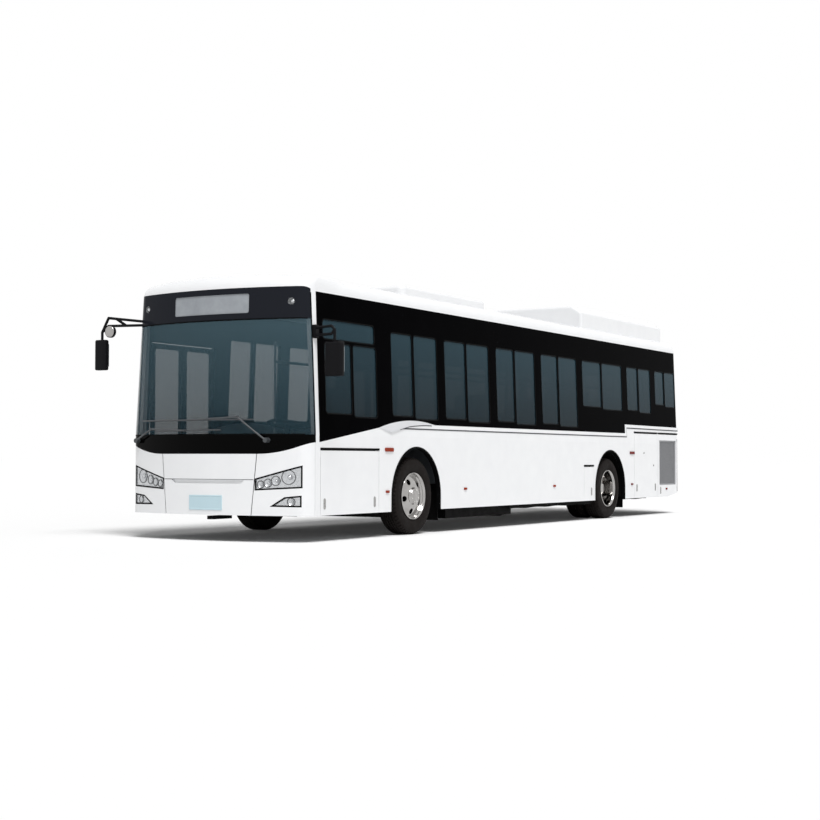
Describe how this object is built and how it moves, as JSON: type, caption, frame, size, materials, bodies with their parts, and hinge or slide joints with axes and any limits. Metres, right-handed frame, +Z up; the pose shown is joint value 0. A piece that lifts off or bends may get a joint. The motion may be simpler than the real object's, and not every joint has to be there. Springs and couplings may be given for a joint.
{
  "type": "city bus",
  "caption": "Low-entry city bus with bowed front, dark window band, inward-swinging double doors, top-hung side flaps, steered front wheels and twin rear wheels.",
  "frame": {"origin": "on the ground under the middle of the body", "axes": "+Z up, -Y towards the front of the bus, +X towards its left side"},
  "size_m": [3.26, 12.095, 3.3619],
  "materials": {
    "body_paint": "gloss",
    "band_black": "gloss",
    "glass": "gloss",
    "sign_grey": "gloss",
    "lamp_clear": "gloss",
    "lamp_red": "gloss",
    "lamp_amber": "gloss",
    "tyre": "matte",
    "wheel_chrome": "polished",
    "chassis_black": "satin",
    "iron": "matte",
    "rubber": "matte",
    "trim_black": "satin",
    "grille_grey": "satin",
    "floor_grey": "matte",
    "seat_blue": "satin",
    "dash_grey": "matte",
    "rail_steel": "brushed",
    "door_black": "gloss"
  },
  "bodies": {
    "coach_body": {"body_glass": "glass", "cooling_unit": "body_paint", "corner_posts": "body_paint", "dashboard": "dash_grey", "destination_sign": "sign_grey", "driver_platform": "floor_grey", "driver_seat": "seat_blue", "engine": "iron", "floor": "floor_grey", "front_axle": "iron", "front_lamps": "lamp_clear", "front_mask": "band_black", "front_panels": "body_paint", "grab_rails": "rail_steel", "left_side_panel": "body_paint", "left_window_band": "band_black", "marker_lamps": "lamp_amber", "mirror_arms": "trim_black", "mirror_heads": "trim_black", "mudflaps": "rubber", "raised_floor": "floor_grey", "rear_axle": "iron", "rear_wall": "body_paint", "right_side_panel": "body_paint", "right_window_band": "band_black", "roof": "body_paint", "roof_pod": "body_paint", "seats": "seat_blue", "steering_wheel": "trim_black", "tail_lamps": "lamp_red", "underframe": "chassis_black", "wheel_boxes": "wheel_chrome", "windscreen": "glass", "wipers": "trim_black"},
    "knuckle_left": {"knuckle_left": "iron"},
    "knuckle_right": {"knuckle_right": "iron"},
    "track_rod": {"track_rod": "chassis_black"},
    "front_wheel_left": {"tyre_front_left": "tyre", "wheel_front_left": "wheel_chrome"},
    "front_wheel_right": {"tyre_front_right": "tyre", "wheel_front_right": "wheel_chrome"},
    "rear_wheels_left": {"tyres_rear_left": "tyre", "wheels_rear_left": "wheel_chrome"},
    "rear_wheels_right": {"tyres_rear_right": "tyre", "wheels_rear_right": "wheel_chrome"},
    "front_door_front": {"front_door_leaf_front": "door_black", "front_door_glass_front": "glass"},
    "front_door_rear": {"front_door_leaf_rear": "door_black", "front_door_glass_rear": "glass"},
    "middle_door_front": {"middle_door_leaf_front": "door_black", "middle_door_glass_front": "glass"},
    "middle_door_rear": {"middle_door_leaf_rear": "door_black", "middle_door_glass_rear": "glass"},
    "locker_flap": {"locker_flap": "body_paint"},
    "filler_flap": {"filler_flap": "body_paint"},
    "engine_flap": {"engine_flap": "body_paint"},
    "radiator_flap": {"radiator_flap": "body_paint", "radiator_grille": "grille_grey"},
    "engine_lid": {"engine_lid": "body_paint"}
  },
  "joints": [
    {"name": "steer_left", "type": "hinge", "parent": "coach_body", "child": "knuckle_left", "pos_m": [0.93, -3.4, 0.4785], "axis": [0, 0, 1], "range_deg": [-40, 40]},
    {"name": "steer_right", "type": "hinge", "parent": "coach_body", "child": "knuckle_right", "pos_m": [-0.93, -3.4, 0.4785], "axis": [0, 0, 1], "range_deg": [-40, 40]},
    {"name": "track_rod_swing", "type": "hinge", "parent": "knuckle_left", "child": "track_rod", "pos_m": [0.93, -3.18, 0.258], "axis": [0, 0, 1], "range_deg": [-40, 40]},
    {"name": "front_wheel_left_spin", "type": "hinge", "parent": "knuckle_left", "child": "front_wheel_left", "pos_m": [1.1, -3.4, 0.4785], "axis": [1, 0, 0], "continuous": true},
    {"name": "front_wheel_right_spin", "type": "hinge", "parent": "knuckle_right", "child": "front_wheel_right", "pos_m": [-1.1, -3.4, 0.4785], "axis": [1, 0, 0], "continuous": true},
    {"name": "rear_wheels_left_spin", "type": "hinge", "parent": "coach_body", "child": "rear_wheels_left", "pos_m": [1.1, 2.8, 0.4785], "axis": [1, 0, 0], "continuous": true},
    {"name": "rear_wheels_right_spin", "type": "hinge", "parent": "coach_body", "child": "rear_wheels_right", "pos_m": [-1.1, 2.8, 0.4785], "axis": [1, 0, 0], "continuous": true},
    {"name": "front_door_front_swing", "type": "hinge", "parent": "coach_body", "child": "front_door_front", "pos_m": [-1.212, -5.505, 1.355], "axis": [0, 0, -1], "range_deg": [0, 85]},
    {"name": "front_door_rear_swing", "type": "hinge", "parent": "coach_body", "child": "front_door_rear", "pos_m": [-1.212, -4.305, 1.355], "axis": [0, 0, 1], "range_deg": [0, 85]},
    {"name": "middle_door_front_swing", "type": "hinge", "parent": "coach_body", "child": "middle_door_front", "pos_m": [-1.212, -1.155, 1.355], "axis": [0, 0, -1], "range_deg": [0, 85]},
    {"name": "middle_door_rear_swing", "type": "hinge", "parent": "coach_body", "child": "middle_door_rear", "pos_m": [-1.212, 0.065, 1.355], "axis": [0, 0, 1], "range_deg": [0, 85]},
    {"name": "locker_flap_lift", "type": "hinge", "parent": "coach_body", "child": "locker_flap", "pos_m": [1.267, -4.93, 1.022], "axis": [0, -1, 0], "range_deg": [0, 85]},
    {"name": "filler_flap_lift", "type": "hinge", "parent": "coach_body", "child": "filler_flap", "pos_m": [1.267, 1.94, 0.814], "axis": [0, -1, 0], "range_deg": [0, 85]},
    {"name": "engine_flap_lift", "type": "hinge", "parent": "coach_body", "child": "engine_flap", "pos_m": [1.26094, 4.35, 1.362], "axis": [0, -1, 0], "range_deg": [0, 85]},
    {"name": "radiator_flap_lift", "type": "hinge", "parent": "coach_body", "child": "radiator_flap", "pos_m": [1.26094, 5.3875, 1.362], "axis": [0, -1, 0], "range_deg": [0, 85]},
    {"name": "engine_lid_lift", "type": "hinge", "parent": "coach_body", "child": "engine_lid", "pos_m": [0, 5.992, 1.552], "axis": [1, 0, 0], "range_deg": [0, 80]}
  ],
  "couplings": [
    {"joint": "steer_right", "follows": "steer_left", "ratio": 1},
    {"joint": "track_rod_swing", "follows": "steer_left", "ratio": -1}
  ]
}
